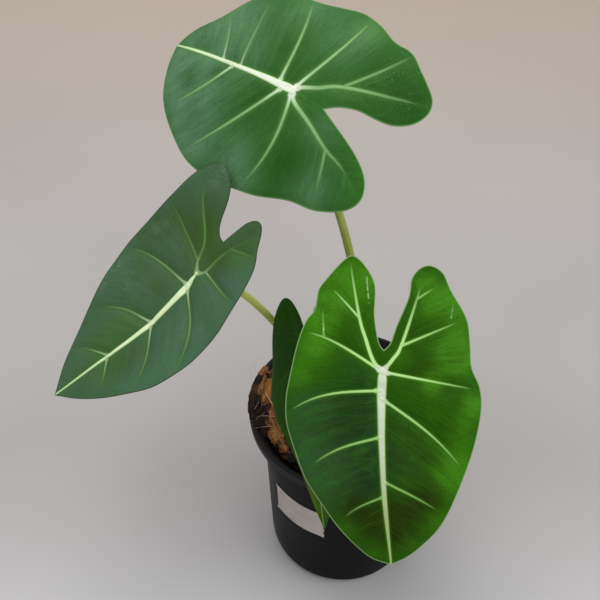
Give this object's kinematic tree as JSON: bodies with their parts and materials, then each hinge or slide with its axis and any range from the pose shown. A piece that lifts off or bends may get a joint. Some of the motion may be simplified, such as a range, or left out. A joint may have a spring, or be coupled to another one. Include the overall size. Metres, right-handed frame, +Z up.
{
  "type": "potted green velvet alocasia",
  "caption": "Young aroid house plant with heart-shaped, waved, pale-veined leaves on arching stalks from a short crown, in a tapered black nursery pot of chunky potting mix.",
  "frame": {"origin": "middle of the pot's flat base, on the surface that it stands on", "axes": "+Z up along the pot's axis; -Y towards the front leaf and the viewer; -X towards the left leaf"},
  "size_m": [0.1837, 0.1986, 0.2946],
  "materials": {
    "black_plastic": "satin",
    "tape": "matt",
    "coconut_mix": "rough",
    "crown_skin": "matt",
    "leaf_green": "velvet sheen",
    "leaf_deep_green": "velvet sheen",
    "stalk_green": "satin"
  },
  "bodies": {
    "root": {"nursery_pot": "black_plastic", "pot_label": "tape", "potting_mix": "coconut_mix", "alocasia_crown": "crown_skin", "front_leaf_blade": "leaf_green", "front_leaf_petiole": "stalk_green", "top_leaf_blade": "leaf_green", "top_leaf_petiole": "stalk_green", "left_leaf_blade": "leaf_deep_green", "left_leaf_petiole": "stalk_green", "side_leaf_blade": "leaf_deep_green", "side_leaf_petiole": "stalk_green"}
  },
  "joints": []
}
